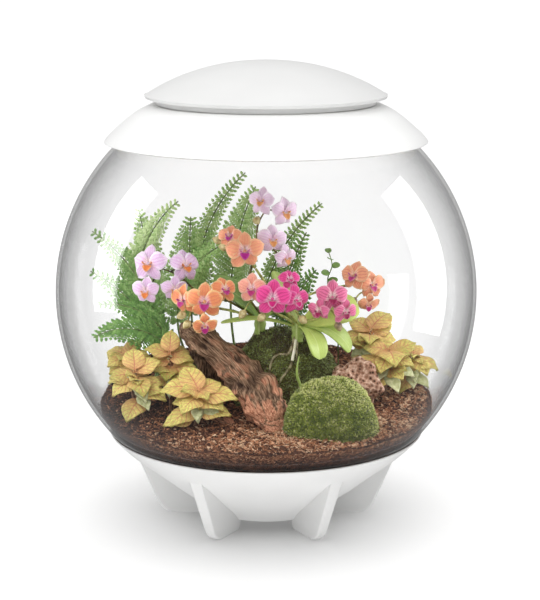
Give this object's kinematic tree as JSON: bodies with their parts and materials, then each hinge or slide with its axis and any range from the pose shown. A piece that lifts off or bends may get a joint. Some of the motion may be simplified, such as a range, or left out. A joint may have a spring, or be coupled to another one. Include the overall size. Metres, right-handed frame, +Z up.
{
  "type": "plant terrarium",
  "caption": "Clear globe terrarium on a white finned base with a collar and domed lid, planted with ferns, miniature orchids, nerve plants, moss and driftwood.",
  "frame": {"origin": "on the floor under the middle of the globe", "axes": "+Z up; -Y is the front, where the moss cushion and the driftwood's foot are; +X is to the right seen from the front"},
  "size_m": [0.4, 0.4, 0.4409],
  "materials": {
    "white_plastic": "glossy white moulded plastic",
    "clear_acrylic": "clear polished acrylic",
    "lamp_diffuser": "frosted white diffuser",
    "coir": "loose reddish-brown coir fibre",
    "driftwood": "weathered bark, ridged",
    "bright_moss": "velvety bright green moss",
    "dark_moss": "shaggy dark green moss",
    "lava_rock": "porous pinkish-brown lava rock",
    "fern": "matt green leaflets",
    "orchid_leaf": "waxy green leaf",
    "orchid_stem": "smooth brown-green stalk",
    "lilac_petal": "velvety lilac petal",
    "pale_petal": "velvety pale pink petal",
    "peach_petal": "velvety peach petal",
    "orange_petal": "velvety orange petal",
    "salmon_petal": "velvety salmon petal",
    "magenta_petal": "velvety magenta petal",
    "nerve_leaf": "matt lime leaf with a pink net of veins",
    "vine": "smooth green shoot"
  },
  "bodies": {
    "root": {"base": "white_plastic", "globe": "clear_acrylic", "collar": "white_plastic", "lid": "white_plastic", "lamp_panel": "lamp_diffuser", "soil": "coir", "moss_mound": "dark_moss", "driftwood": "driftwood", "driftwood_shard": "driftwood", "moss_cushion": "bright_moss", "lava_rock": "lava_rock", "orchid_plant_right": "orchid_leaf", "orchid_plant_left": "orchid_leaf", "orchid_spike_lilac": "orchid_stem", "orchid_blooms_lilac": "lilac_petal", "orchid_spike_pale": "orchid_stem", "orchid_blooms_pale": "pale_petal", "orchid_spike_peach": "orchid_stem", "orchid_blooms_peach": "peach_petal", "orchid_spike_orange": "orchid_stem", "orchid_blooms_orange": "orange_petal", "orchid_spike_salmon": "orchid_stem", "orchid_blooms_salmon": "salmon_petal", "orchid_spike_magenta": "orchid_stem", "orchid_blooms_magenta": "magenta_petal", "orchid_spike_rose": "orchid_stem", "orchid_blooms_rose": "magenta_petal", "orchid_spike_right_peach": "orchid_stem", "orchid_blooms_right_peach": "peach_petal", "nerve_plant_front": "nerve_leaf", "nerve_plant_left": "nerve_leaf", "nerve_plant_upper": "nerve_leaf", "nerve_plant_far_left": "nerve_leaf", "nerve_plant_right_back": "nerve_leaf", "nerve_plant_right": "nerve_leaf", "nerve_plant_far_right": "nerve_leaf", "vine": "vine", "fern_frond_tall": "fern", "fern_frond_crown": "fern", "fern_frond_upper_left": "fern", "fern_frond_middle": "fern", "fern_frond_left": "fern", "fern_frond_left_low": "fern", "fern_frond_side": "fern", "fern_frond_front": "fern", "fern_frond_back": "fern", "fern_frond_inner": "fern", "fern_frond_right": "fern", "fern_frond_right_low": "fern", "fern_frond_deep_left": "fern", "fern_frond_deep_right": "fern"}
  },
  "joints": []
}
